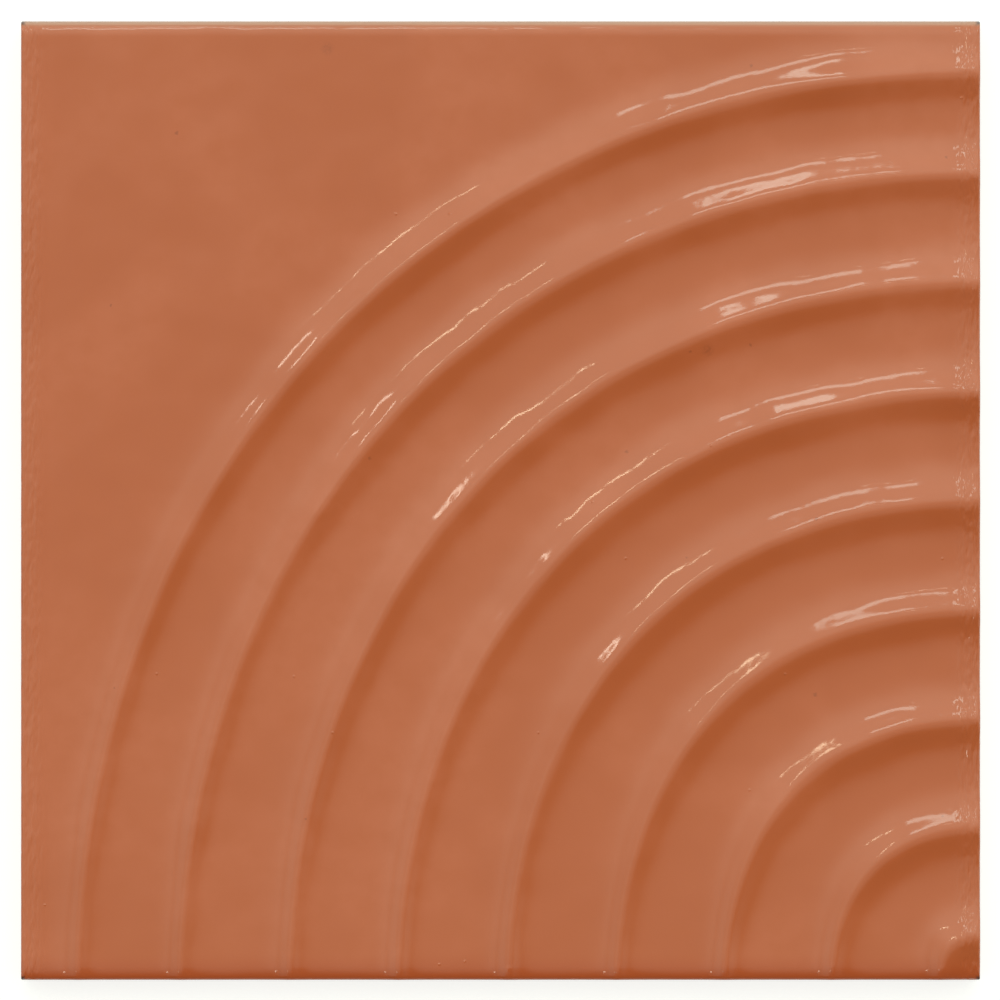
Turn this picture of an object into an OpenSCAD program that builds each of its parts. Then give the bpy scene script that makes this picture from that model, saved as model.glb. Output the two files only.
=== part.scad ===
// Glazed ceramic wall tile, pressed with a relief of concentric quarter rings.
// It lies face up on its back, centred on the origin, with the back at Z = 0.
// The rings are centred on the corner at +X, -Y and stop before the corner opposite.

/* [Tile] */
// Length of each side of the square
tile_side = 150; // [120:1:200]
// Thickness from the back to the flat field beside the rings
field_thickness = 8.5; // [6:0.1:12]
// Radius of the four upright corners
corner_radius = 0.6; // [0.3:0.1:3]
// Radius of the rounding along the top edges, from the height of the crests
edge_radius = 3; // [1:0.1:4]
// Width of the bevel along the edges of the back
back_bevel = 0.6; // [0.2:0.1:1.2]

/* [Rings] */
// Number of raised rings
ring_count = 9; // [3:1:11]
// Radius of the innermost crest, from the corner
first_crest_radius = 6.3; // [5:0.1:9]
// Distance from one crest to the next
ring_pitch = 17.1; // [13:0.1:20]
// Height of the crests above the field
ring_height = 1.5; // [0.8:0.1:2.4]
// Width of the rounded top of a crest
crest_width = 3.5; // [1.6:0.1:6]

/* [Back] */
// Number of keying pockets along each side, even, so that ribs cross at the middle
pocket_count = 10; // [4:2:14]
// Depth of the pockets
pocket_depth = 0.9; // [0.4:0.1:1.5]
// Width of the ribs between the pockets
rib_width = 2.6; // [1.5:0.1:4]
// Width of the plain rim round the pockets
rim_width = 6; // [3:0.5:12]
// Lean of the pocket walls, in degrees
wall_draft = 30; // [5:1:40]

/* [Hidden] */
$fn = 96;

glaze_colour = "#BA6E4C";
crest_thickness = field_thickness + ring_height;

// The blank stands this much above the crests, so that its flat top doesn't graze them.
headroom = 0.02;
blank_thickness = crest_thickness + headroom;

// The relief is a wave of arcs, a narrow one over each crest and a wide one in each valley.
// Where two arcs meet they share the steepest slope, so the surface has no crease there:
// the tangent of half that slope is the height of a ring over half the pitch.
half_pitch = ring_pitch / 2;
steepest = 2 * atan(ring_height / half_pitch);
crest_arc = crest_width / 2 / sin(steepest);
valley_arc = (half_pitch - crest_width / 2) / sin(steepest);
join_thickness = field_thickness + valley_arc * (1 - cos(steepest));
rings_end = first_crest_radius + (ring_count - 0.5) * ring_pitch;

// A crest arc is drawn this much larger, with its top at the same height, so that it crosses
// the valley arcs beside it and doesn't only touch them.
crossing = 0.02;
crest_radius = crest_arc + crossing;

// The revolved body reaches past the far corner of the tile, and past the last valley.
reach = max(norm([tile_side, tile_side]), rings_end) + ring_pitch;

pocket_pitch = (tile_side - 2 * rim_width + rib_width) / pocket_count;
pocket_width = pocket_pitch - rib_width;

// The bars that cut the pockets start this far below the back.
cut_start = 0.2;

// Area under the relief, with X as the distance from the corner and Y as the height above the back.
module ring_section() {
    difference() {
        union() {
            square([rings_end, join_thickness]);
            square([reach, field_thickness]);
        }
        for (i = [0 : ring_count])
            translate([first_crest_radius + (i - 0.5) * ring_pitch, field_thickness + valley_arc])
                circle(valley_arc);
    }
    for (i = [0 : ring_count - 1])
        translate([first_crest_radius + i * ring_pitch, crest_thickness - crest_radius])
            circle(crest_radius);
}

// The relief as a round body, turned about the corner that the rings share.
module relief_body() {
    translate([tile_side / 2, -tile_side / 2, 0])
        rotate_extrude()
            intersection() {
                ring_section();
                square([reach, blank_thickness]);
            }
}

// Cross-section of the blank: bevelled along the back, rounded along the top.
module edge_section() {
    half = tile_side / 2;
    difference() {
        polygon([
            [-half + back_bevel, 0], [half - back_bevel, 0], [half, back_bevel],
            [half, blank_thickness], [-half, blank_thickness], [-half, back_bevel]
        ]);
        for (side = [-1, 1])
            translate([side * (half - edge_radius / 2), blank_thickness - edge_radius / 2])
                square(edge_radius, center = true);
    }
    for (side = [-1, 1])
        translate([side * (half - edge_radius), blank_thickness - edge_radius])
            circle(edge_radius);
}

// The outline with its rounded upright corners.
module plan_section() {
    side = tile_side - 2 * corner_radius;
    square([side, tile_side], center = true);
    square([tile_side, side], center = true);
    for (x = [-1, 1], y = [-1, 1])
        translate([x * side / 2, y * side / 2])
            circle(corner_radius);
}

module blank() {
    intersection() {
        linear_extrude(blank_thickness) plan_section();
        rotate([90, 0, 0]) linear_extrude(tile_side, center = true) edge_section();
        rotate([90, 0, 90]) linear_extrude(tile_side, center = true) edge_section();
    }
}

// A row of tapered bars. Two rows that cross leave only the pockets, each with four leaning walls.
module pocket_row() {
    mouth_half = pocket_width / 2 + cut_start * tan(wall_draft);
    top_half = pocket_width / 2 - pocket_depth * tan(wall_draft);
    for (i = [0 : pocket_count - 1])
        translate([(i - (pocket_count - 1) / 2) * pocket_pitch, 0, 0])
            rotate([90, 0, 0])
                linear_extrude(tile_side, center = true)
                    polygon([
                        [-mouth_half, -cut_start],
                        [mouth_half, -cut_start],
                        [top_half, pocket_depth],
                        [-top_half, pocket_depth]
                    ]);
}

module keying_pockets() {
    intersection() {
        pocket_row();
        rotate([0, 0, 90]) pocket_row();
    }
}

module wall_tile() {
    color(glaze_colour)
        difference() {
            intersection() {
                blank();
                relief_body();
            }
            keying_pockets();
        }
}

wall_tile();
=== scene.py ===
# %% [markdown]
# # A glazed ceramic wall tile
# The tile is one pressed and fired plate of clay, 150 mm square. Its face carries nine raised rings,
# quarter circles around one corner, under a glossy terracotta glaze. This lesson builds that face as a
# surface that follows a rule, adds the bare clay back, and lights the glaze so that the relief reads.

# %% Load the frame
import math

import bpy
from mathutils import Matrix, Vector


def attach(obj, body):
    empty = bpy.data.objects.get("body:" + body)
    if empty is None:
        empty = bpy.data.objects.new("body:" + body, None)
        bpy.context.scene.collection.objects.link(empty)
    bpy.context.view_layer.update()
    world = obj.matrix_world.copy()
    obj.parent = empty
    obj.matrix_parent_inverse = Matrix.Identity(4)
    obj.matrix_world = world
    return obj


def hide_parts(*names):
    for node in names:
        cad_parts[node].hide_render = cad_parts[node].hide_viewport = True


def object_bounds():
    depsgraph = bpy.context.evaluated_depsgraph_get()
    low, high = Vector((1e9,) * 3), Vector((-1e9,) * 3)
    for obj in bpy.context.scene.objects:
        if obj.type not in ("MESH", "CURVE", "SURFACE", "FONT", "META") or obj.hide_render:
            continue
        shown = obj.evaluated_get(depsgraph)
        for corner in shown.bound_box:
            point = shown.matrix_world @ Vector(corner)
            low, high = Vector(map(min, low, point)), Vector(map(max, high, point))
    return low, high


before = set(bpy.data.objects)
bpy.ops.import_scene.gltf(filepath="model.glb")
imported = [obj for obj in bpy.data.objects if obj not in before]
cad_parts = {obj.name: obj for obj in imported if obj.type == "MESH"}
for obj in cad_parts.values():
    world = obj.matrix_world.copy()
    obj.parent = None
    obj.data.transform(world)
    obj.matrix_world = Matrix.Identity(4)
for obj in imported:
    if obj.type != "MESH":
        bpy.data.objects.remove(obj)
cad_low, cad_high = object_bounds()
print("CAD box in metres:", tuple(cad_low), tuple(cad_high))

# %% [markdown]
# ## Units, colours and nodes
# Sizes are written in millimetres, as a tile maker would, and turned to metres once. Colours are
# written as the hex values of a colour chart, which are sRGB, and shaders need linear light. Every
# node of every tree below is added by one small function, so a tree reads as a list of steps. Some
# nodes have several sockets of one name, of which only one is in use at a time: that one is meant.
# What isn't written stays at Blender's default, such as 0 and 1 for the ends of a Map Range.

# %% Small helpers
MM = 0.001
MATH = "ShaderNodeMath"
VECTOR = "ShaderNodeVectorMath"
MAP_RANGE = "ShaderNodeMapRange"
MIX = "ShaderNodeMix"
NOISE = "ShaderNodeTexNoise"
SPLIT = "ShaderNodeSeparateXYZ"


def linear(hex_colour):
    """Turns a colour like "#CF6537" to the linear red, green, blue and alpha that shaders use."""
    parts = [int(hex_colour[i : i + 2], 16) / 255 for i in (1, 3, 5)]
    bent = [c / 12.92 if c <= 0.04045 else ((c + 0.055) / 1.055) ** 2.4 for c in parts]
    return (*bent, 1.0)


def add_node(tree, kind, inputs=(), **settings):
    """Adds a node with its settings, and fills its inputs with values, links or lists of links."""
    node = tree.nodes.new(kind)
    for name, value in settings.items():
        setattr(node, name, value)
    pairs = inputs.items() if isinstance(inputs, dict) else enumerate(inputs)
    for key, filling in pairs:
        in_use = [socket for socket in node.inputs if socket.enabled and socket.name == key]
        target = in_use[0] if in_use else node.inputs[key]
        for value in filling if isinstance(filling, list) else [filling]:
            if isinstance(value, bpy.types.Node):
                value = next(socket for socket in value.outputs if socket.enabled)
            if isinstance(value, bpy.types.NodeSocket):
                tree.links.new(value, target)
            else:
                target.default_value = value
    return node


print("red of the glaze, linear:", round(linear("#CF6537")[0], 3))

# %% [markdown]
# ## The camera
# A catalogue shows a tile from straight above, from far away and through a long lens, so that its
# sides stay parallel. The camera could be orthographic, but a real one stands somewhere. This one is
# 2 m over the floor, less than a tenth of a millimetre off the middle in X and Y, and its lens is
# worked out from the width that the picture has to take in, which is the tile and a narrow margin.

# %% Camera
tile_side = cad_high.x - cad_low.x
tile_top = cad_high.z
camera_height = 2.0
picture_width = 1.0416 * tile_side
off_middle = 0.08 * MM

camera_data = bpy.data.cameras.new("camera")
camera_data.sensor_width = 36
camera_data.lens = camera_data.sensor_width * (camera_height - tile_top) / picture_width
camera_data.clip_end = 50
camera = bpy.data.objects.new("camera", camera_data)
camera.location = (-off_middle, off_middle, camera_height)
bpy.context.scene.collection.objects.link(camera)
bpy.context.scene.camera = camera
print("lens in mm:", round(camera_data.lens))

# %% [markdown]
# ## The glaze
# The glaze is a lead-free transparent glass over an orange-brown engobe. It was poured, so it is thick
# and pools, and a fired glass surface has no grain at all: what the eye reads is a mirror over a
# coloured body. The colour could be painted on, but a coat over a rougher body gives the same two
# layers, and they react to light as the real ones do.
#
# Nothing poured is perfectly even. The colour drifts by a few steps over a centimetre or two, iron in
# the clay leaves dark specks, and the glass has the very slight waviness that is called orange peel.

# %% Glaze: where its patterns are
glaze = bpy.data.materials.new("glossy terracotta glaze, poured and fired")
glaze.use_nodes = True
glaze_tree = glaze.node_tree
glaze_tree.nodes.clear()
on_glaze = add_node(glaze_tree, "ShaderNodeTexCoord").outputs["Object"]
print("coordinates that the glaze follows:", on_glaze.name)

# %% Glaze: drifting colour
# Each row holds the size of the clouds, their roughness, the noise at which a patch begins and is
# full, how much of its colour it then has, and that colour.
drifting = linear("#CF6537")
for cloud_size, roughness, low, high, most, hex_colour in (
    (24 * MM, 0.55, 0.42, 0.58, 1.0, "#C95E2B"),
    (3 * MM, 0.5, 0.4, 0.7, 0.5, "#CA5F2A"),
):
    cloud = add_node(
        glaze_tree,
        NOISE,
        {"Vector": on_glaze, "Scale": 1 / cloud_size, "Detail": 2.0, "Roughness": roughness},
    )
    patches = add_node(
        glaze_tree, MAP_RANGE, {"Value": cloud, "From Min": low, "From Max": high, "To Max": most}
    )
    drifting = add_node(
        glaze_tree, MIX, {"Factor": patches, "A": drifting, "B": linear(hex_colour)}, data_type="RGBA"
    )
print("nodes for the drifting colour:", len(glaze_tree.nodes))

# %% [markdown]
# ### Iron in the glaze
# Grains of iron melt to dark specks about half a millimetre across, and a cluster of finer grains
# makes a smudge deeper down. They could be placed one by one. A Voronoi texture scatters them instead:
# each of its cells has one centre and one random colour, and that colour decides whether the cell
# holds a speck and how large it is. Only about one cell in ten does.

# %% Spots scattered over the glaze
def scatter(what, place, cell, share, channel):
    """Cells of one size, of which a share is chosen by one channel of their random colours."""
    cells = add_node(
        glaze_tree,
        "ShaderNodeTexVoronoi",
        {"Vector": place, "Scale": 1 / cell},
        voronoi_dimensions="2D",
    )
    draw = add_node(glaze_tree, SPLIT, (cells.outputs["Color"],))
    chosen = add_node(glaze_tree, MATH, (draw.outputs[channel], 1 - share), operation="GREATER_THAN")
    print(what, "to expect:", round(share * (tile_side / cell) ** 2))
    return cells.outputs["Distance"], draw, chosen


# %% Glaze: iron specks, at most one in each square of 10 mm
SPECK_CELL = 10 * MM
speck_edge = add_node(glaze_tree, NOISE, {"Vector": on_glaze, "Scale": 1 / (0.4 * MM), "Detail": 1.0})
ragged = add_node(
    glaze_tree, VECTOR, {"Vector": speck_edge.outputs["Color"], "Scale": 0.5 * MM}, operation="SCALE"
)
on_specks = add_node(glaze_tree, VECTOR, (on_glaze, ragged), operation="ADD")
speck_distance, speck_draw, has_speck = scatter("specks", on_specks, SPECK_CELL, 0.07, 0)
speck_radius = add_node(
    glaze_tree,
    MAP_RANGE,
    {"Value": speck_draw.outputs[1], "To Min": 0.2 * MM / SPECK_CELL, "To Max": 0.45 * MM / SPECK_CELL},
)
speck_shape = add_node(
    glaze_tree,
    MAP_RANGE,
    {
        "Value": speck_distance,
        "From Min": 0.1 * MM / SPECK_CELL,
        "From Max": speck_radius,
        "To Min": 0.5,
        "To Max": 0.0,
    },
    interpolation_type="SMOOTHSTEP",
)
speck = add_node(glaze_tree, MATH, (has_speck, speck_shape), operation="MULTIPLY")
print("nodes with the specks:", len(glaze_tree.nodes))

# %% Glaze: smudges, where a cluster of fine iron grains lies deeper
SMUDGE_CELL = 38 * MM
SMUDGE_RADIUS = 1.4 * MM
smudge_distance, _, has_smudge = scatter("smudges", on_specks, SMUDGE_CELL, 0.12, 2)
smudge_shape = add_node(
    glaze_tree,
    MAP_RANGE,
    {"Value": smudge_distance, "From Max": SMUDGE_RADIUS / SMUDGE_CELL, "To Min": 1.0, "To Max": 0.0},
    interpolation_type="SMOOTHSTEP",
)
grains = add_node(
    glaze_tree,
    MAP_RANGE,
    {"Value": speck_edge, "From Min": 0.35, "From Max": 0.6, "To Min": 0.1, "To Max": 0.4},
)
grainy = add_node(glaze_tree, MATH, (smudge_shape, grains), operation="MULTIPLY")
smudge = add_node(glaze_tree, MATH, (has_smudge, grainy), operation="MULTIPLY")
iron = add_node(glaze_tree, MATH, (speck, smudge), operation="MAXIMUM")
specked = add_node(
    glaze_tree, MIX, {"Factor": iron, "A": drifting, "B": linear("#983E10")}, data_type="RGBA"
)
print("nodes with the smudges:", len(glaze_tree.nodes))

# %% [markdown]
# ### Painted light at the edges, and burnt corners
# The far edge faces the brightest panels, so it is painted with a highlight: a pale band in the colour
# of a mirrored light. The near edge faces away from them, so it is painted with shade: a deeper, darker
# band. The four corners are burnt dark, which is the tile's own colour. The edges could be painted on
# the mesh. Here each is a soft band, worked out from the place on the tile. All bands fade out by
# height where the sides begin, or they would run down them.

# %% Glaze: a painted highlight at the far edge, painted shade at the near one, burnt corners
half_side = tile_side / 2
glaze_xyz = add_node(glaze_tree, SPLIT, (on_glaze,))
off_x = add_node(glaze_tree, MATH, (glaze_xyz.outputs[0],), operation="ABSOLUTE")
off_y = add_node(glaze_tree, MATH, (glaze_xyz.outputs[1],), operation="ABSOLUTE")
to_corner = add_node(glaze_tree, MATH, (off_x, off_y), operation="MINIMUM")
# Each row holds a place, where the band begins and is full, how much of its colour it then has, and
# that colour: first the painted highlight at the far edge, then the painted shade at the near one,
# then the burnt corners.
painted_edge_light_and_burn = specked
for place, begins, full, most, hex_colour in (
    (glaze_xyz.outputs[1], half_side - 1.1 * MM, half_side - 0.1 * MM, 0.9, "#BF937E"),
    (glaze_xyz.outputs[1], 4.5 * MM - half_side, -half_side, 1.0, "#C14F12"),
    (to_corner, half_side - 0.9 * MM, half_side - 0.2 * MM, 0.9, "#43201A"),
):
    painted_edge_light_and_burn_share = add_node(
        glaze_tree,
        MAP_RANGE,
        {"Value": place, "From Min": begins, "From Max": full, "To Max": most},
        interpolation_type="SMOOTHSTEP",
    )
    painted_edge_light_and_burn = add_node(
        glaze_tree,
        MIX,
        {"Factor": painted_edge_light_and_burn_share, "A": painted_edge_light_and_burn, "B": linear(hex_colour)},
        data_type="RGBA",
    )
above_sides = add_node(
    glaze_tree,
    MAP_RANGE,
    {"Value": glaze_xyz.outputs[2], "From Min": tile_top - 4.5 * MM, "From Max": tile_top - 2.8 * MM},
)
# Only above the sides does the colour take the painted edge highlight and shade and the burnt corners.
glaze_colour = add_node(
    glaze_tree, MIX, {"Factor": above_sides, "A": specked, "B": painted_edge_light_and_burn}, data_type="RGBA"
)
print("nodes for the colour of the glaze:", len(glaze_tree.nodes))

# %% [markdown]
# ### The surface of the glass
# The mirror isn't quite flat. It has waves about a millimetre long, ripples where it runs over the left
# and right edges, and nibs. All three could be modelled, but they are less than a tenth of a millimetre
# high, so three bumps in a chain are enough. The orange peel is a noise without finer octaves, which
# would break each mirrored lamp into dots.

# %% Glaze: orange peel
peel = add_node(glaze_tree, NOISE, {"Vector": on_glaze, "Scale": 1 / (1.1 * MM), "Detail": 0.0})
peel_bump = add_node(glaze_tree, "ShaderNodeBump", {"Distance": 0.0045 * MM, "Height": peel})
print("length of the orange peel's waves in mm:", round(1 / peel.inputs["Scale"].default_value / MM, 1))

# %% Glaze: ripples where it rolls over the left and right edges
ripple_place = add_node(glaze_tree, VECTOR, (on_glaze, (1, 0.3, 1)), operation="MULTIPLY")
ripple = add_node(glaze_tree, NOISE, {"Vector": ripple_place, "Scale": 1 / (0.7 * MM), "Detail": 1.0})
ripple_zone = add_node(
    glaze_tree,
    MAP_RANGE,
    {"Value": off_x, "From Min": half_side - 4.5 * MM, "From Max": half_side - 1.8 * MM},
    interpolation_type="SMOOTHSTEP",
)
ripple_size = add_node(glaze_tree, MATH, (ripple_zone, above_sides), operation="MULTIPLY")
ripples = add_node(glaze_tree, MATH, (ripple, ripple_size), operation="MULTIPLY")
ripple_bump = add_node(
    glaze_tree, "ShaderNodeBump", {"Distance": 0.18 * MM, "Height": ripples, "Normal": peel_bump}
)
print("width of the ripples in mm:", round(1 / ripple.inputs["Scale"].default_value / MM, 1))

# %% Glaze: nibs, which are grains of dust under the glass
NIB_CELL = 9 * MM
NIB_RADIUS = 0.3 * MM
nib_distance, _, has_nib = scatter("nibs", on_glaze, NIB_CELL, 0.07, 1)
nib_shape = add_node(
    glaze_tree,
    MAP_RANGE,
    {"Value": nib_distance, "From Max": NIB_RADIUS / NIB_CELL, "To Min": 1.0, "To Max": 0.0},
    interpolation_type="SMOOTHSTEP",
)
nib = add_node(glaze_tree, MATH, (has_nib, nib_shape), operation="MULTIPLY")
glaze_bump = add_node(
    glaze_tree, "ShaderNodeBump", {"Distance": 0.05 * MM, "Height": nib, "Normal": ripple_bump}
)
print("nodes with the bumps:", len(glaze_tree.nodes))

# %% Glaze: the coloured body and the glass over it
glaze_body = add_node(
    glaze_tree,
    "ShaderNodeBsdfPrincipled",
    {
        "Base Color": glaze_colour,
        "Roughness": 0.35,
        "IOR": 1.5,
        "Coat Weight": 1.0,
        "Coat Roughness": 0.06,
        "Coat IOR": 1.5,
        "Normal": glaze_bump,
        "Coat Normal": glaze_bump,
    },
)
add_node(glaze_tree, "ShaderNodeOutputMaterial", {"Surface": glaze_body})
print("nodes of the glaze:", len(glaze_tree.nodes))

# %% [markdown]
# ## The fired clay
# Below the glaze line, on the bevel and on the back, the tile is bare biscuit: a salmon-buff clay that
# was pressed as damp dust. It is matt, faintly sandy to the touch, flecked with pale and dark grains,
# and its colour drifts with the heat of the kiln. One plain colour would look like plastic, so a slow
# noise, a scatter of grains and a fine bump are laid over each other. Real grains are 0.1 to 0.3 mm
# across. They are drawn up to 0.8 mm wide, because smaller ones wouldn't show.

# %% Fired clay: its drift of colour
fired_clay = bpy.data.materials.new("bare fired clay, pressed from dust")
fired_clay.use_nodes = True
clay_tree = fired_clay.node_tree
clay_tree.nodes.clear()
on_clay = add_node(clay_tree, "ShaderNodeTexCoord").outputs["Object"]
heat_cloud = add_node(
    clay_tree, NOISE, {"Vector": on_clay, "Scale": 1 / (25 * MM), "Detail": 4.0, "Roughness": 0.6}
)
heat_share = add_node(clay_tree, MAP_RANGE, {"Value": heat_cloud, "From Min": 0.3, "From Max": 0.7})
clay_drift = add_node(
    clay_tree,
    MIX,
    {"Factor": heat_share, "A": linear("#C6997C"), "B": linear("#B98463")},
    data_type="RGBA",
)
print("nodes for the clay's drift:", len(clay_tree.nodes))

# %% Fired clay: dark and pale grains
grain_cells = add_node(clay_tree, "ShaderNodeTexVoronoi", {"Vector": on_clay, "Scale": 1 / (0.8 * MM)})
grain_draw = add_node(clay_tree, SPLIT, (grain_cells.outputs["Color"],))
grain_shape = add_node(
    clay_tree,
    MAP_RANGE,
    {
        "Value": grain_cells.outputs["Distance"],
        "From Min": 0.15,
        "From Max": 0.4,
        "To Min": 0.6,
        "To Max": 0.0,
    },
)
# Each row holds the channel that chooses, the share of the grains, and their colour.
clay_colour = clay_drift
for channel, share, hex_colour in ((0, 0.07, "#6B4630"), (1, 0.1, "#E3CDB8")):
    chosen = add_node(
        clay_tree, MATH, (grain_draw.outputs[channel], 1 - share), operation="GREATER_THAN"
    )
    grain = add_node(clay_tree, MATH, (chosen, grain_shape), operation="MULTIPLY")
    clay_colour = add_node(
        clay_tree, MIX, {"Factor": grain, "A": clay_colour, "B": linear(hex_colour)}, data_type="RGBA"
    )
print("nodes for the clay's colour:", len(clay_tree.nodes))

# %% Fired clay: sandy surface
sand = add_node(
    clay_tree, NOISE, {"Vector": on_clay, "Scale": 1 / (0.5 * MM), "Detail": 4.0, "Roughness": 0.7}
)
clay_bump = add_node(clay_tree, "ShaderNodeBump", {"Distance": 0.06 * MM, "Height": sand})
clay_body = add_node(
    clay_tree,
    "ShaderNodeBsdfPrincipled",
    {"Base Color": clay_colour, "Roughness": 0.9, "IOR": 1.45, "Normal": clay_bump},
)
add_node(clay_tree, "ShaderNodeOutputMaterial", {"Surface": clay_body})
print("nodes of the clay:", len(clay_tree.nodes))

# %% [markdown]
# ## The pressed face
# On the real tile a steel die presses the rings into damp clay dust, and the glaze then softens
# them and rolls over the edges. The face could be sculpted, or cut from a disc and trimmed. Here it
# is a fine grid whose height follows a rule, because each ring is the same section at another
# distance from the corner. The rule says how far a point is from its nearest crest, and a curve gives
# the height there. The sizes of the sides and the back repeat those of the CAD source, which this
# script can't read.

# %% Sizes of the tile
TILE_SIZES = {
    "Side": tile_side,
    "Crest level": tile_top - 0.05 * MM,
    "Ring height": 1.5 * MM,
    "Rings": 9,
    "Growth from": math.radians(-6),
    "Growth to": math.radians(66),
    "Height at the start": 0.74,
    "Height change": 0.2,
    "First crest": 6.7 * MM,
    "Ring pitch": 17.1 * MM,
    "Last ring inset": 1.2 * MM,
    "Inner flank at the start": 1.5 * MM,
    "Inner flank at the end": 4.0 * MM,
    "Inner flank leads by": math.radians(12),
    "Outer flank at the start": 1.2 * MM,
    "Outer flank at the end": 4.75 * MM,
    "Outer flank lags by": math.radians(6),
    "Crest power": 1.75,
    "Crest rounding": 0.45 * MM,
    "Shoulder radius": (1.6 * MM, 6.5 * MM, 0),
    "Arris radius": (0.4 * MM, 1.1 * MM, 0),
    "Near arris radius": (0.4 * MM, 0.7 * MM, 0),
    "Shoulder turn": math.radians(14.5),
    "Corner power": 12.0,
    "Cells": 294,
    "Shoulder cells": 8,
    "Arris cells": 4,
    "Bulge": 0.9 * MM,
    "Bulge middle": math.radians(49),
    "Lean": 0.5 * MM,
    "Lean middle": math.radians(37),
    "Wander": 0.5 * MM,
    "Unevenness": 0.25 * MM,
    "Seed": 3.0,
    "Glaze thickness": 0.15 * MM,
    "Glaze line": 2.6 * MM,
    "Back bevel": 0.6 * MM,
    "Pockets": 10,
    "Pocket depth": 0.9 * MM,
    "Rib width": 2.6 * MM,
    "Rim width": 6.0 * MM,
    "Wall lean": 0.52 * MM,
}
print("sizes of the tile:", len(TILE_SIZES))

# %% Inputs of the tile's tree
SOCKET_KINDS = {float: "NodeSocketFloat", int: "NodeSocketInt", tuple: "NodeSocketVector"}
tile_tree = bpy.data.node_groups.new("pressed tile", "GeometryNodeTree")
tile_inputs = {}
for name, value in TILE_SIZES.items():
    kind = SOCKET_KINDS[type(value)]
    socket = tile_tree.interface.new_socket(name, in_out="INPUT", socket_type=kind)
    tile_inputs[socket.identifier] = value
tile_tree.interface.new_socket("Tile", in_out="OUTPUT", socket_type="NodeSocketGeometry")
given = add_node(tile_tree, "NodeGroupInput").outputs
print("inputs of the tree:", len(tile_inputs))

# %% [markdown]
# ### Where the grid's points go
# The tiles run under a curtain of glaze, which rolls over the near and far sides in a wide, shallow
# shoulder. At the left and right the shoulder is narrow. After it the surface turns down over the
# arris, the tile's upper edge, in a tight arc. A bevel would round the edges too, but all alike.
#
# The grid starts as a square from -1 to 1. Its middle is stretched over the flat of the face, the next
# rows follow the shoulder's arc, and the last rows a small arc that goes on from it. Both radii are
# vectors, so that X and Y can differ. In a corner two such bands cross, and a power mean of the two
# rounds the corner off.

# %% The grid
cells = given["Cells"]
lines = add_node(tile_tree, MATH, (cells, 1), operation="ADD")
grid = add_node(
    tile_tree,
    "GeometryNodeMeshGrid",
    {"Size X": 2, "Size Y": 2, "Vertices X": lines, "Vertices Y": lines},
)
half = add_node(tile_tree, MATH, (given["Side"], 0.5), operation="MULTIPLY")
grid_place = add_node(tile_tree, "GeometryNodeInputPosition")
grid_xyz = add_node(tile_tree, SPLIT, (grid_place,))
print("nodes of the grid:", len(tile_tree.nodes))

# %% Widths of the shoulder and the arris, and their rows of the grid
near = add_node(tile_tree, MATH, (grid_xyz.outputs[1], 0), operation="LESS_THAN")
arris_radius = add_node(
    tile_tree,
    MIX,
    {"Factor": near, "A": given["Arris radius"], "B": given["Near arris radius"]},
    data_type="VECTOR",
)
turn_sine = add_node(tile_tree, MATH, (given["Shoulder turn"],), operation="SINE")
wider = add_node(tile_tree, VECTOR, (given["Shoulder radius"], arris_radius), operation="SUBTRACT")
band = add_node(tile_tree, VECTOR, (wider, turn_sine, arris_radius), operation="MULTIPLY_ADD")
flat_half = add_node(tile_tree, VECTOR, (half, band), operation="SUBTRACT")
arris_share = add_node(tile_tree, MATH, (given["Arris cells"], cells), operation="DIVIDE")
shoulder_share = add_node(tile_tree, MATH, (given["Shoulder cells"], cells), operation="DIVIDE")
arris_start = add_node(tile_tree, MATH, (arris_share, -2, 1), operation="MULTIPLY_ADD")
shoulder_start = add_node(tile_tree, MATH, (shoulder_share, -2, arris_start), operation="MULTIPLY_ADD")
arris_turn = add_node(tile_tree, MATH, (math.pi / 2, given["Shoulder turn"]), operation="SUBTRACT")
print("nodes with the widths:", len(tile_tree.nodes))

# %% How far each point has turned down
from_middle = add_node(tile_tree, VECTOR, (grid_place,), operation="ABSOLUTE")
which_side = add_node(tile_tree, VECTOR, (grid_place,), operation="SIGN")
over_flat = add_node(
    tile_tree,
    MAP_RANGE,
    {"Vector": from_middle, "From Max": shoulder_start, "To Max": flat_half},
    data_type="FLOAT_VECTOR",
)
shoulder_angle = add_node(
    tile_tree,
    MAP_RANGE,
    {
        "Vector": from_middle,
        "From Min": shoulder_start,
        "From Max": arris_start,
        "To Max": given["Shoulder turn"],
    },
    data_type="FLOAT_VECTOR",
)
arris_angle = add_node(
    tile_tree,
    MAP_RANGE,
    {"Vector": from_middle, "From Min": arris_start, "To Max": arris_turn},
    data_type="FLOAT_VECTOR",
)
angle_down = add_node(tile_tree, VECTOR, (shoulder_angle, arris_angle), operation="ADD")
print("nodes with the turns:", len(tile_tree.nodes))

# %% How far the arcs go out
shoulder_sine = add_node(tile_tree, VECTOR, (shoulder_angle,), operation="SINE")
angle_sine = add_node(tile_tree, VECTOR, (angle_down,), operation="SINE")
arris_out = add_node(tile_tree, VECTOR, (angle_sine, arris_radius), operation="MULTIPLY")
out_part = add_node(tile_tree, VECTOR, (shoulder_sine, wider, arris_out), operation="MULTIPLY_ADD")
out_share = add_node(tile_tree, VECTOR, (out_part, band), operation="DIVIDE")
share_xyz = add_node(tile_tree, SPLIT, (out_share,))
furthest = add_node(tile_tree, MATH, (share_xyz.outputs[0], share_xyz.outputs[1]), operation="MAXIMUM")
power = given["Corner power"]
power_x = add_node(tile_tree, MATH, (share_xyz.outputs[0], power), operation="POWER")
power_y = add_node(tile_tree, MATH, (share_xyz.outputs[1], power), operation="POWER")
power_sum = add_node(tile_tree, MATH, (power_x, power_y), operation="ADD")
power_root = add_node(tile_tree, MATH, (1, power), operation="DIVIDE")
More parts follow.
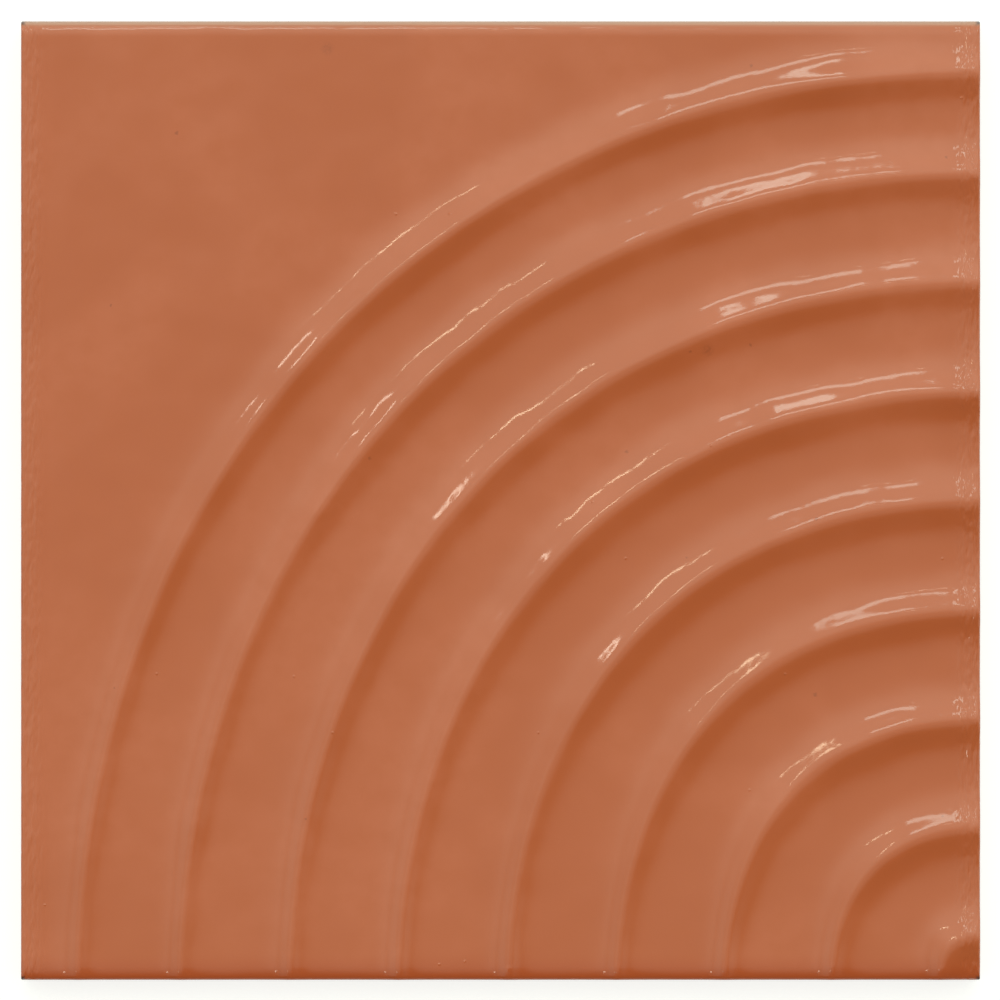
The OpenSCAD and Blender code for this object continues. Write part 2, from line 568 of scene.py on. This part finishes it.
power_mean = add_node(tile_tree, MATH, (power_sum, power_root), operation="POWER")
safe_mean = add_node(tile_tree, MATH, (power_mean, 0.0001), operation="MAXIMUM")
shrink = add_node(tile_tree, MATH, (furthest, safe_mean), operation="DIVIDE")
rolled = add_node(tile_tree, VECTOR, {"Vector": out_part, "Scale": shrink}, operation="SCALE")
spread = add_node(tile_tree, VECTOR, (over_flat, rolled), operation="ADD")
plan_place = add_node(tile_tree, VECTOR, (spread, which_side), operation="MULTIPLY")
print("nodes with each point's place in plan:", len(tile_tree.nodes))

# %% How far the arcs go down
shoulder_cosine = add_node(tile_tree, VECTOR, (shoulder_angle,), operation="COSINE")
down_cosine = add_node(tile_tree, VECTOR, (angle_down,), operation="COSINE")
shoulder_fall = add_node(tile_tree, VECTOR, ((1, 1, 1), shoulder_cosine), operation="SUBTRACT")
down_fall = add_node(tile_tree, VECTOR, ((1, 1, 1), down_cosine), operation="SUBTRACT")
arris_drop = add_node(tile_tree, VECTOR, (down_fall, arris_radius), operation="MULTIPLY")
both_drops = add_node(tile_tree, VECTOR, (shoulder_fall, wider, arris_drop), operation="MULTIPLY_ADD")
drop_xyz = add_node(tile_tree, SPLIT, (both_drops,))
edge_drop = add_node(tile_tree, MATH, (drop_xyz.outputs[0], drop_xyz.outputs[1]), operation="MAXIMUM")
print("nodes with the drop at the edges:", len(tile_tree.nodes))

# %% [markdown]
# ### The section of the rings
# The rings were drawn by hand in the mould. Halfway round the quarter the outer ones stand almost two
# millimetres further out than at its ends, they lean a little to one side, and all wander. So the
# distance from the corner is bent first, by a cosine and a sine of the angle and by slow noise, and
# only then compared with the crests. The last ring is also drawn in by about a millimetre.

# %% Distance and angle from the corner that the rings share
minus_half = add_node(tile_tree, MATH, (half, -1), operation="MULTIPLY")
ring_centre = add_node(tile_tree, "ShaderNodeCombineXYZ", (half, minus_half, 0))
from_centre = add_node(tile_tree, VECTOR, (plan_place, ring_centre), operation="SUBTRACT")
centre_xyz = add_node(tile_tree, SPLIT, (from_centre,))
leftwards = add_node(tile_tree, MATH, (centre_xyz.outputs[0], -1), operation="MULTIPLY")
distance = add_node(tile_tree, VECTOR, (from_centre,), operation="LENGTH").outputs["Value"]
angle = add_node(tile_tree, MATH, (centre_xyz.outputs[1], leftwards), operation="ARCTAN2")
print("nodes with distance and angle:", len(tile_tree.nodes))

# %% Bulge, lean and wander
past_middle = add_node(tile_tree, MATH, (angle, given["Bulge middle"]), operation="SUBTRACT")
bulge_turn = add_node(tile_tree, MATH, (past_middle, 4), operation="MULTIPLY")
bulge_wave = add_node(tile_tree, MATH, (bulge_turn,), operation="COSINE")
bulge_growth = add_node(
    tile_tree,
    MAP_RANGE,
    {"Value": distance, "From Max": half, "To Min": 0.2},
    interpolation_type="SMOOTHSTEP",
)
past_lean = add_node(tile_tree, MATH, (angle, given["Lean middle"]), operation="SUBTRACT")
lean_wave = add_node(tile_tree, MATH, (past_lean,), operation="SINE")
lean_length = add_node(tile_tree, MATH, (lean_wave, given["Lean"]), operation="MULTIPLY")
wander_noise = add_node(
    tile_tree,
    NOISE,
    {"Vector": plan_place, "W": given["Seed"], "Scale": 1 / (38 * MM), "Detail": 1.0},
    noise_dimensions="4D",
)
wander = add_node(tile_tree, MATH, (wander_noise, 0.5), operation="SUBTRACT")
swing = add_node(tile_tree, MATH, (bulge_wave, given["Bulge"], lean_length), operation="MULTIPLY_ADD")
grown_swing = add_node(tile_tree, MATH, (swing, bulge_growth), operation="MULTIPLY")
wander_length = add_node(tile_tree, MATH, (wander, given["Wander"]), operation="MULTIPLY")
bend = add_node(tile_tree, MATH, (grown_swing, wander_length), operation="ADD")
bent_distance = add_node(tile_tree, MATH, (distance, bend), operation="SUBTRACT")
print("nodes with the bent distance:", len(tile_tree.nodes))

# %% Distance from the nearest crest
last_ring = add_node(tile_tree, MATH, (given["Rings"], 1), operation="SUBTRACT")
last_crest = add_node(
    tile_tree, MATH, (last_ring, given["Ring pitch"], given["First crest"]), operation="MULTIPLY_ADD"
)
crest_before = add_node(tile_tree, MATH, (last_crest, given["Ring pitch"]), operation="SUBTRACT")
inset = add_node(
    tile_tree,
    MAP_RANGE,
    {
        "Value": bent_distance,
        "From Min": crest_before,
        "From Max": last_crest,
        "To Max": given["Last ring inset"],
    },
    interpolation_type="SMOOTHSTEP",
)
even_distance = add_node(tile_tree, MATH, (bent_distance, inset), operation="ADD")
past_first = add_node(tile_tree, MATH, (even_distance, given["First crest"]), operation="SUBTRACT")
ring_place = add_node(tile_tree, MATH, (past_first, given["Ring pitch"]), operation="DIVIDE")
nearest = add_node(tile_tree, MATH, (ring_place,), operation="ROUND")
ring = add_node(tile_tree, "ShaderNodeClamp", (nearest, 0, last_ring))
past_ring = add_node(tile_tree, MATH, (ring_place, ring), operation="SUBTRACT")
off_crest = add_node(tile_tree, MATH, (past_ring, given["Ring pitch"]), operation="MULTIPLY")
half_pitch = add_node(tile_tree, MATH, (given["Ring pitch"], 0.5), operation="MULTIPLY")
beside = add_node(tile_tree, MATH, (off_crest,), operation="ABSOLUTE")
crest_gap = add_node(tile_tree, MATH, (beside, half_pitch), operation="MINIMUM")
print("nodes with the distance from a crest:", len(tile_tree.nodes))

# %% [markdown]
# A mould maker scrapes such a ring with a shaped blade, and the melted glaze rounds it further. What
# is left is a bell curve: a round crest, a flank that is steepest a millimetre or two beside it, and
# a long skirt. The curve is 1 / (1 + (gap / width) ^ power), and a power a little under 2 keeps the
# flanks straight. The gap is rounded off near zero, or such a power would leave a crease along the
# crest. A small parabola lifts the skirt just enough to make it level in the middle of the valley,
# where the next ring begins.
#
# Arcs would do for the section too, and the CAD source uses them. The bell has the softer change from
# crest to flank, and on a mirror-like glaze that change decides where the highlights sit.
#
# The rings are low and narrow where they start at the near edge, and grow on their way round, the
# inner flank a little sooner than the outer one.

# %% Growth of a ring on its way round
growth = add_node(
    tile_tree,
    MAP_RANGE,
    {"Value": angle, "From Min": given["Growth from"], "From Max": given["Growth to"]},
    interpolation_type="SMOOTHSTEP",
)
outside = add_node(tile_tree, MATH, (off_crest, 0), operation="GREATER_THAN")
flanks = []
for which, shift, operation in (
    ("Inner flank", "leads by", "ADD"),
    ("Outer flank", "lags by", "SUBTRACT"),
):
    shifted = add_node(tile_tree, MATH, (angle, given[f"{which} {shift}"]), operation=operation)
    width = add_node(
        tile_tree,
        MAP_RANGE,
        {
            "Value": shifted,
            "From Min": given["Growth from"],
            "From Max": given["Growth to"],
            "To Min": given[f"{which} at the start"],
            "To Max": given[f"{which} at the end"],
        },
        interpolation_type="SMOOTHSTEP",
    )
    flanks.append(width)
flank = add_node(tile_tree, MIX, {"Factor": outside, "A": flanks[0], "B": flanks[1]})
print("nodes with the growth of the flanks:", len(tile_tree.nodes))

# %% Bell curve over the crest and at the middle of the valley
gap_squared = add_node(tile_tree, MATH, (crest_gap, crest_gap), operation="MULTIPLY")
rounding = given["Crest rounding"]
rounded_square = add_node(tile_tree, MATH, (rounding, rounding, gap_squared), operation="MULTIPLY_ADD")
rounded_gap = add_node(tile_tree, MATH, (rounded_square,), operation="SQRT")
bells = []
for reach in (rounded_gap, half_pitch):
    in_flanks = add_node(tile_tree, MATH, (reach, flank), operation="DIVIDE")
    raised = add_node(tile_tree, MATH, (in_flanks, given["Crest power"]), operation="POWER")
    one_more = add_node(tile_tree, MATH, (raised, 1), operation="ADD")
    bells.append(add_node(tile_tree, MATH, (1, one_more), operation="DIVIDE"))
bell, valley_bell = bells
valley_rest = add_node(tile_tree, MATH, (1, valley_bell), operation="SUBTRACT")
steepness = add_node(tile_tree, MATH, (valley_bell, valley_rest), operation="MULTIPLY")
half_power = add_node(tile_tree, MATH, (given["Crest power"], 0.5), operation="MULTIPLY")
skirt_size = add_node(tile_tree, MATH, (steepness, half_power), operation="MULTIPLY")
valley_share = add_node(tile_tree, MATH, (crest_gap, half_pitch), operation="DIVIDE")
share_squared = add_node(tile_tree, MATH, (valley_share, valley_share), operation="MULTIPLY")
skirt = add_node(tile_tree, MATH, (skirt_size, share_squared, bell), operation="MULTIPLY_ADD")
valley_level = add_node(tile_tree, MATH, (valley_bell, skirt_size), operation="ADD")
above_valley = add_node(tile_tree, MATH, (skirt, valley_level), operation="SUBTRACT")
crest_above = add_node(tile_tree, MATH, (1, valley_level), operation="SUBTRACT")
section = add_node(tile_tree, MATH, (above_valley, crest_above), operation="DIVIDE")
print("nodes with the section:", len(tile_tree.nodes))

# %% [markdown]
# ### The height of the rings, and what the glaze does to it
# No ring is equally high all the way, because a die wears and the clay springs back. The height could
# be painted as weights, but slow noise on the plan does it by itself: it takes up to a fifth off.
# Finer noise stands for the pool of glass, which is up to a tenth of a millimetre deeper here than
# there. That little is enough to break a reflection of a lamp into strokes.

# %% Height of the rings
height_noise = add_node(
    tile_tree,
    NOISE,
    {"Vector": plan_place, "W": given["Seed"], "Scale": 1 / (22 * MM), "Detail": 1.0},
    noise_dimensions="4D",
)
loss = add_node(
    tile_tree,
    MAP_RANGE,
    {"Value": height_noise, "From Min": 0.3, "From Max": 0.7, "To Max": given["Height change"]},
)
grown_height = add_node(tile_tree, MIX, {"Factor": growth, "A": given["Height at the start"], "B": 1.0})
height_share = add_node(tile_tree, MATH, (grown_height, loss), operation="SUBTRACT")
ring_height = add_node(tile_tree, MATH, (height_share, given["Ring height"]), operation="MULTIPLY")
relief = add_node(tile_tree, MATH, (section, ring_height), operation="MULTIPLY")
print("nodes with the relief:", len(tile_tree.nodes))

# %% Unevenness of the poured glaze
uneven_noise = add_node(
    tile_tree,
    NOISE,
    {"Vector": plan_place, "W": given["Seed"], "Scale": 1 / (9 * MM), "Detail": 1.0},
    noise_dimensions="4D",
)
uneven = add_node(tile_tree, MATH, (uneven_noise, 0.75), operation="SUBTRACT")
uneven_length = add_node(tile_tree, MATH, (uneven, given["Unevenness"]), operation="MULTIPLY")
field_level = add_node(
    tile_tree, MATH, (given["Crest level"], given["Ring height"]), operation="SUBTRACT"
)
relief_level = add_node(tile_tree, MATH, (field_level, relief), operation="ADD")
uneven_level = add_node(tile_tree, MATH, (relief_level, uneven_length), operation="ADD")
face_level = add_node(tile_tree, MATH, (uneven_level, edge_drop), operation="SUBTRACT")
plan_xyz = add_node(tile_tree, SPLIT, (plan_place,))
face_place = add_node(
    tile_tree, "ShaderNodeCombineXYZ", (plan_xyz.outputs[0], plan_xyz.outputs[1], face_level)
)
face = add_node(
    tile_tree, "GeometryNodeSetPosition", {"Geometry": grid.outputs["Mesh"], "Position": face_place}
)
print("nodes with the face:", len(tile_tree.nodes))

# %% [markdown]
# ### The sides
# The glaze runs down from the rolled edge and ends part of the way, in a line that waves a little and
# stands proud of the bare clay by its own thickness. Each stretch of the side is the open edge of
# the mesh, drawn out once more and put in its place: to the glaze line, in under the glaze, down the
# clay, and over the bevel to the back. A box cut away below the face would give straight sides only.

# %% The waving glaze line
edge_faces = add_node(tile_tree, "GeometryNodeInputMeshEdgeNeighbors")
open_edge = add_node(
    tile_tree, "FunctionNodeCompare", {"A": edge_faces, "B": 1}, data_type="INT", operation="EQUAL"
)
edge_place = add_node(tile_tree, "GeometryNodeInputPosition")
edge_plan = add_node(tile_tree, VECTOR, (edge_place, (1, 1, 0)), operation="MULTIPLY")
line_noise = add_node(
    tile_tree,
    NOISE,
    {"Vector": edge_plan, "W": given["Seed"], "Scale": 1 / (9 * MM), "Detail": 2.0},
    noise_dimensions="4D",
)
line_level = add_node(tile_tree, MATH, (line_noise, 0.5), operation="ADD")
glaze_line = add_node(tile_tree, MATH, (line_level, given["Glaze line"]), operation="MULTIPLY")
clay_half = add_node(tile_tree, MATH, (half, given["Glaze thickness"]), operation="SUBTRACT")
back_half = add_node(tile_tree, MATH, (clay_half, given["Back bevel"]), operation="SUBTRACT")
under_glaze = add_node(tile_tree, MATH, (clay_half, half), operation="DIVIDE")
over_bevel = add_node(tile_tree, MATH, (back_half, clay_half), operation="DIVIDE")
print("nodes with the glaze line:", len(tile_tree.nodes))

# %% Open edges drawn down
downwards = add_node(tile_tree, "ShaderNodeCombineXYZ", (0, 0, -1))
side_mesh = add_node(tile_tree, "GeometryNodeSetMaterial", {"Geometry": face, "Material": glaze})
side_edge = open_edge
for inwards, level, finish in (
    (1.0, glaze_line, glaze),
    (under_glaze, glaze_line, glaze),
    (1.0, given["Back bevel"], fired_clay),
    (over_bevel, 0.0, fired_clay),
):
    drawn = add_node(
        tile_tree,
        "GeometryNodeExtrudeMesh",
        {"Mesh": side_mesh, "Selection": side_edge, "Offset": downwards, "Offset Scale": 0.1 * MM},
        mode="EDGES",
    )
    side_place = add_node(tile_tree, VECTOR, {"Vector": edge_plan, "Scale": inwards}, operation="SCALE")
    side_xyz = add_node(tile_tree, SPLIT, (side_place,))
    placed = add_node(
        tile_tree, "ShaderNodeCombineXYZ", (side_xyz.outputs[0], side_xyz.outputs[1], level)
    )
    side_edge = drawn.outputs["Top"]
    moved = add_node(
        tile_tree,
        "GeometryNodeSetPosition",
        {"Geometry": drawn.outputs["Mesh"], "Selection": side_edge, "Position": placed},
    )
    side_mesh = add_node(
        tile_tree,
        "GeometryNodeSetMaterial",
        {"Geometry": moved, "Selection": drawn.outputs["Side"], "Material": finish},
    )
print("nodes with the sides:", len(tile_tree.nodes))

# %% [markdown]
# ### The keyed back
# The back is pressed with rows of shallow pockets, which the adhesive grips. One pocket with half a
# rib on each side is a small mesh, and copies of it stand in a square array. What is left between
# the array and the bevel is the plain rim, a flat face with a square hole. Pockets cut by a Boolean
# would do as well, but a hundred cuts are slow and leave needle-thin faces.

# %% Sizes of a pocket
pockets = given["Pockets"]
rim_twice = add_node(tile_tree, MATH, (given["Rim width"], -2, given["Side"]), operation="MULTIPLY_ADD")
pocket_span = add_node(tile_tree, MATH, (rim_twice, given["Rib width"]), operation="ADD")
pocket_pitch = add_node(tile_tree, MATH, (pocket_span, pockets), operation="DIVIDE")
half_rib = add_node(tile_tree, MATH, (given["Rib width"], 0.5), operation="MULTIPLY")
half_cell = add_node(tile_tree, MATH, (pocket_pitch, 0.5), operation="MULTIPLY")
half_mouth = add_node(tile_tree, MATH, (half_cell, half_rib), operation="SUBTRACT")
half_floor = add_node(tile_tree, MATH, (half_mouth, given["Wall lean"]), operation="SUBTRACT")
print("nodes with the sizes of a pocket:", len(tile_tree.nodes))

# %% One pocket, with half a rib round it
cell_grid = add_node(
    tile_tree, "GeometryNodeMeshGrid", {"Size X": 5, "Size Y": 5, "Vertices X": 6, "Vertices Y": 6}
)
cell_side = add_node(tile_tree, VECTOR, (grid_place,), operation="SIGN")
cell_step = add_node(tile_tree, VECTOR, (grid_place,), operation="ABSOLUTE")
wall_part = add_node(
    tile_tree,
    MAP_RANGE,
    {
        "Vector": cell_step,
        "From Min": (0.5,) * 3,
        "From Max": (1.5,) * 3,
        "To Min": half_floor,
        "To Max": half_mouth,
    },
    data_type="FLOAT_VECTOR",
)
rib_part = add_node(
    tile_tree,
    MAP_RANGE,
    {"Vector": cell_step, "From Min": (1.5,) * 3, "From Max": (2.5,) * 3, "To Max": half_rib},
    data_type="FLOAT_VECTOR",
)
cell_spread = add_node(tile_tree, VECTOR, (wall_part, rib_part), operation="ADD")
cell_plan = add_node(tile_tree, VECTOR, (cell_spread, cell_side), operation="MULTIPLY")
step_xyz = add_node(tile_tree, SPLIT, (cell_step,))
outermost = add_node(tile_tree, MATH, (step_xyz.outputs[0], step_xyz.outputs[1]), operation="MAXIMUM")
in_pocket = add_node(tile_tree, MATH, (outermost, 1.0), operation="LESS_THAN")
pocket_roof = add_node(tile_tree, MATH, (in_pocket, given["Pocket depth"]), operation="MULTIPLY")
cell_xyz = add_node(tile_tree, SPLIT, (cell_plan,))
cell_place = add_node(
    tile_tree, "ShaderNodeCombineXYZ", (cell_xyz.outputs[0], cell_xyz.outputs[1], pocket_roof)
)
cell = add_node(
    tile_tree,
    "GeometryNodeSetPosition",
    {"Geometry": cell_grid.outputs["Mesh"], "Position": cell_place},
)
print("nodes with one pocket:", len(tile_tree.nodes))

# %% Copies of the pocket
array_size = add_node(tile_tree, MATH, (pocket_span, pocket_pitch), operation="SUBTRACT")
array = add_node(
    tile_tree,
    "GeometryNodeMeshGrid",
    {"Size X": array_size, "Size Y": array_size, "Vertices X": pockets, "Vertices Y": pockets},
)
copies = add_node(
    tile_tree, "GeometryNodeInstanceOnPoints", {"Points": array.outputs["Mesh"], "Instance": cell}
)
real_cells = add_node(tile_tree, "GeometryNodeRealizeInstances", {"Geometry": copies})
keyed = add_node(
    tile_tree, "GeometryNodeMergeByDistance", {"Geometry": real_cells, "Distance": 0.01 * MM}
)
print("nodes with the pockets:", len(tile_tree.nodes))

# %% Rim round the pockets, and one closed shell
side_loop = add_node(tile_tree, "GeometryNodeMeshToCurve", {"Mesh": side_mesh, "Selection": side_edge})
keyed_loop = add_node(tile_tree, "GeometryNodeMeshToCurve", {"Mesh": keyed, "Selection": open_edge})
loops = add_node(tile_tree, "GeometryNodeJoinGeometry", {"Geometry": [side_loop, keyed_loop]})
rim = add_node(tile_tree, "GeometryNodeFillCurve", {"Curve": loops}, mode="TRIANGLES")
back_parts = add_node(tile_tree, "GeometryNodeJoinGeometry", {"Geometry": [rim, keyed]})
facing_down = add_node(tile_tree, "GeometryNodeFlipFaces", {"Mesh": back_parts})
back = add_node(tile_tree, "GeometryNodeSetMaterial", {"Geometry": facing_down, "Material": fired_clay})
parts = add_node(tile_tree, "GeometryNodeJoinGeometry", {"Geometry": [side_mesh, back]})
shell = add_node(tile_tree, "GeometryNodeMergeByDistance", {"Geometry": parts, "Distance": 0.005 * MM})
print("nodes with the back:", len(tile_tree.nodes))

# %% [markdown]
# ### Shading, and the tree's output
# A poured glaze is one smooth skin, so the face is shaded smooth. The bevel and the pockets were
# pressed by steel, and the glaze ends in a small lip, so an edge that turns by more than 32 degrees
# stays sharp. This could be left to a modifier, but as a step of the tree it needs nothing after it.

# %% Shading and output
smooth = add_node(tile_tree, "GeometryNodeSetShadeSmooth", {"Geometry": shell})
bend_angle = add_node(tile_tree, "GeometryNodeInputMeshEdgeAngle").outputs["Unsigned Angle"]
sharp = add_node(tile_tree, MATH, (bend_angle, math.radians(32)), operation="GREATER_THAN")
creased = add_node(
    tile_tree,
    "GeometryNodeSetShadeSmooth",
    {"Geometry": smooth, "Selection": sharp, "Shade Smooth": False},
    domain="EDGE",
)
realized = add_node(tile_tree, "GeometryNodeRealizeInstances", {"Geometry": creased})
add_node(tile_tree, "NodeGroupOutput", {"Tile": realized})
print("nodes of the whole tree:", len(tile_tree.nodes))

# %% [markdown]
# ### From tree to mesh
# The tree runs once on an empty object. Its result is copied to a plain mesh, which the frame's tools
# and the export can read, and the empty object goes. The sizes are handed over by the identifiers of
# the inputs, because two inputs may share a name. An empty material slot, if there is one, is taken
# off. A modifier could stay on the tile instead, but then each tool would have to run the tree again.

# %% Run the tree
host = bpy.data.objects.new("tile_host", bpy.data.meshes.new("tile_host"))
bpy.context.scene.collection.objects.link(host)
modifier = host.modifiers.new("pressed tile", "NODES")
modifier.node_group = tile_tree
for identifier, value in tile_inputs.items():
    modifier[identifier] = value
bpy.context.view_layer.update()
evaluated = host.evaluated_get(bpy.context.evaluated_depsgraph_get())
tile_mesh = bpy.data.meshes.new_from_object(evaluated)
if tile_mesh.materials[0] is None:
    tile_mesh.materials.pop(index=0)
bpy.data.objects.remove(host)
tile = bpy.data.objects.new("glazed_tile", tile_mesh)
bpy.context.scene.collection.objects.link(tile)
print("faces of the tile:", len(tile_mesh.polygons))

# %% Hand the tile to the frame
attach(tile, "root")
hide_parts("wall_tile")
print("finishes of the tile:", [finish.name for finish in tile_mesh.materials])

# %% [markdown]
# ## The floor
# The tile lies on a plain white surface. Paint as white as that would throw light up at the sides of
# the tile, so the paint is a light grey, and a glow that only the eye and mirror-like surfaces see
# lifts it to white. The shadow stays, because the glow is added to the paint and doesn't replace it.

# %% Floor
FLOOR_HALF = 3.0
FLOOR_GLOW = 0.75
floor_mesh = bpy.data.meshes.new("floor")
floor_corners = [(x * FLOOR_HALF, y * FLOOR_HALF, 0) for x, y in ((-1, -1), (1, -1), (1, 1), (-1, 1))]
floor_mesh.from_pydata(floor_corners, [], [(0, 1, 2, 3)])
floor = bpy.data.objects.new("floor", floor_mesh)
bpy.context.scene.collection.objects.link(floor)
floor_paint = bpy.data.materials.new("white backdrop")
floor_paint.use_nodes = True
floor_tree = floor_paint.node_tree
floor_tree.nodes.clear()
floor_body = add_node(floor_tree, "ShaderNodeBsdfDiffuse", {"Color": linear("#BABABA")})
glow_rays = add_node(floor_tree, "ShaderNodeLightPath")
seen = add_node(
    floor_tree,
    MATH,
    (glow_rays.outputs["Is Camera Ray"], glow_rays.outputs["Is Glossy Ray"]),
    operation="ADD",
)
seen_too = add_node(
    floor_tree, MATH, (seen, glow_rays.outputs["Is Transmission Ray"]), operation="ADD", use_clamp=True
)
glow_strength = add_node(floor_tree, MATH, (seen_too, FLOOR_GLOW), operation="MULTIPLY")
glow = add_node(floor_tree, "ShaderNodeEmission", {"Strength": glow_strength})
floor_sum = add_node(floor_tree, "ShaderNodeAddShader", (floor_body, glow))
add_node(floor_tree, "ShaderNodeOutputMaterial", {"Surface": floor_sum})
floor_mesh.materials.append(floor_paint)
print("width of the floor in metres:", 2 * FLOOR_HALF)

# %% [markdown]
# ## Lamps for the highlights
# A glossy glaze shows its relief by two things: soft shading, and sharp highlights where a slope
# mirrors a lamp into the eye. A slope of 13 degrees mirrors what stands 26 degrees off the vertical,
# so each lamp is placed by an azimuth and a tilt, twice the slope that shall catch it. Long narrow
# lamps draw a thin line on each side of the steepest part of a ring. A lamp that only the
# steepest slopes reach gives short patches. All stand 3 m away and are too small to light the body.
# Such lines could be painted on, but then they wouldn't move with the eye as reflections do.

# %% A place in the studio
def direction(azimuth, tilt):
    """The unit vector towards a place in the studio, with azimuth 0 at the left and 90 at the back."""
    a, t = math.radians(azimuth), math.radians(tilt)
    return Vector((-math.cos(a) * math.sin(t), math.sin(a) * math.sin(t), math.cos(t)))


print("halfway up at the back left:", [round(c, 2) for c in direction(45, 45)])

# %% A lamp between two places
LAMP_DISTANCE = 3.0


def strip_lamp(name, start, end, width, radiance, colour):
    """A lamp that reaches from one place in the studio to another, with a width in degrees."""
    first, last = direction(*start), direction(*end)
    middle = (first + last).normalized()
    along = (last - first).normalized()
    across = middle.cross(along).normalized()
    data = bpy.data.lights.new(name, "AREA")
    data.shape = "RECTANGLE"
    data.size = LAMP_DISTANCE * (last - first).length
    data.size_y = LAMP_DISTANCE * math.radians(width)
    data.energy = radiance * math.pi * data.size * data.size_y
    data.color = linear(colour)[:3]
    light = bpy.data.objects.new(name, data)
    light.matrix_world = Matrix(
        [
            [along.x, across.x, middle.x, middle.x * LAMP_DISTANCE],
            [along.y, across.y, middle.y, middle.y * LAMP_DISTANCE],
            [along.z, across.z, middle.z, middle.z * LAMP_DISTANCE],
            [0, 0, 0, 1],
        ]
    )
    bpy.context.scene.collection.objects.link(light)


print("distance of the lamps in metres:", LAMP_DISTANCE)

# %% Lamps
strip_lamp("left lamp", (37.5, 31), (42, 34), 1.2, 11, "#FFF6E0")
strip_lamp("left batten, low end", (45, 22), (47, 22.3), 1.1, 11, "#FFF2CC")
strip_lamp("left batten", (50, 22.7), (55.5, 24.4), 1.1, 12, "#FFF2CC")
strip_lamp("left batten, high end", (58, 25), (59.5, 25.5), 1.1, 12, "#FFF2CC")
strip_lamp("long softbox", (73, 25), (90, 27), 2.5, 4.6, "#EAFFF3")
strip_lamp("short softbox", (76, 32.2), (88, 34.2), 2.2, 6, "#EAFFF3")
strip_lamp("far lamp", (89.6, 22.5), (91.1, 22.5), 0.8, 6, "#FFF4D8")
strip_lamp("near lamp", (318, 27), (324, 30), 3.0, 9, "#FFF6E0")

# %% [markdown]
# ## Soft light
# Most of the light comes from large white panels behind and beside the tile, and a little from the
# room. Each panel could be an area lamp, but a patch of the world's sky with a feathered edge costs
# no samples and has no hard rim to mirror. The brightest panels stand over the far side, which the
# outer flanks face, so each ring has a lit outer flank and a darker inner one. Some of them are a
# little greener than the rest, which keeps the lit flanks from turning pink. Each row below holds an
# azimuth, a tilt, the angles at which the feathering begins and ends, the brightness and the colour.

# %% Sky of panels
WARM_WHITE = "#FAFFEA"
PALE_GREEN = "#EFFFEC"
PANELS = {
    "over the far edge": (86, 42, 5, 42, 0.88, PALE_GREEN),
    "far, lowest": (90, 85, 5, 35, 1.60, WARM_WHITE),
    "left": (0, 70, 10, 45, 0.39, WARM_WHITE),
    "left, higher": (5, 38, 5, 38, 0.50, WARM_WHITE),
    "right": (180, 70, 10, 45, 0.72, WARM_WHITE),
    "low in front": (270, 75, 10, 40, 0.15, WARM_WHITE),
    "overhead": (0, 0, 5, 28, 0.52, WARM_WHITE),
    "left of the far panel": (40, 45, 5, 40, 0.26, PALE_GREEN),
    "right of the far panel": (140, 45, 5, 40, 0.86, PALE_GREEN),
    "all of the sky": (0, 0, 0, 179, 0.18, WARM_WHITE),
}
world = bpy.data.worlds.new("studio")
bpy.context.scene.world = world
world.use_nodes = True
sky = world.node_tree
sky.nodes.clear()
look = add_node(sky, "ShaderNodeTexCoord").outputs["Generated"]
sky_light = (0, 0, 0)
for azimuth, tilt, inner, outer, strength, colour in PANELS.values():
    towards = add_node(sky, VECTOR, (look, direction(azimuth, tilt)), operation="DOT_PRODUCT")
    feather = add_node(
        sky,
        MAP_RANGE,
        {
            "Value": towards.outputs["Value"],
            "From Min": math.cos(math.radians(outer)),
            "From Max": math.cos(math.radians(inner)),
            "To Max": strength,
        },
        interpolation_type="SMOOTHSTEP",
    )
    tint = linear(colour)[:3]
    sky_light = add_node(sky, VECTOR, (feather, tint, sky_light), operation="MULTIPLY_ADD")
background = add_node(sky, "ShaderNodeBackground", {"Color": sky_light, "Strength": 1.0})
add_node(sky, "ShaderNodeOutputWorld", {"Surface": background})

bpy.context.scene.view_settings.view_transform = "Standard"
print("panels:", len(PANELS))
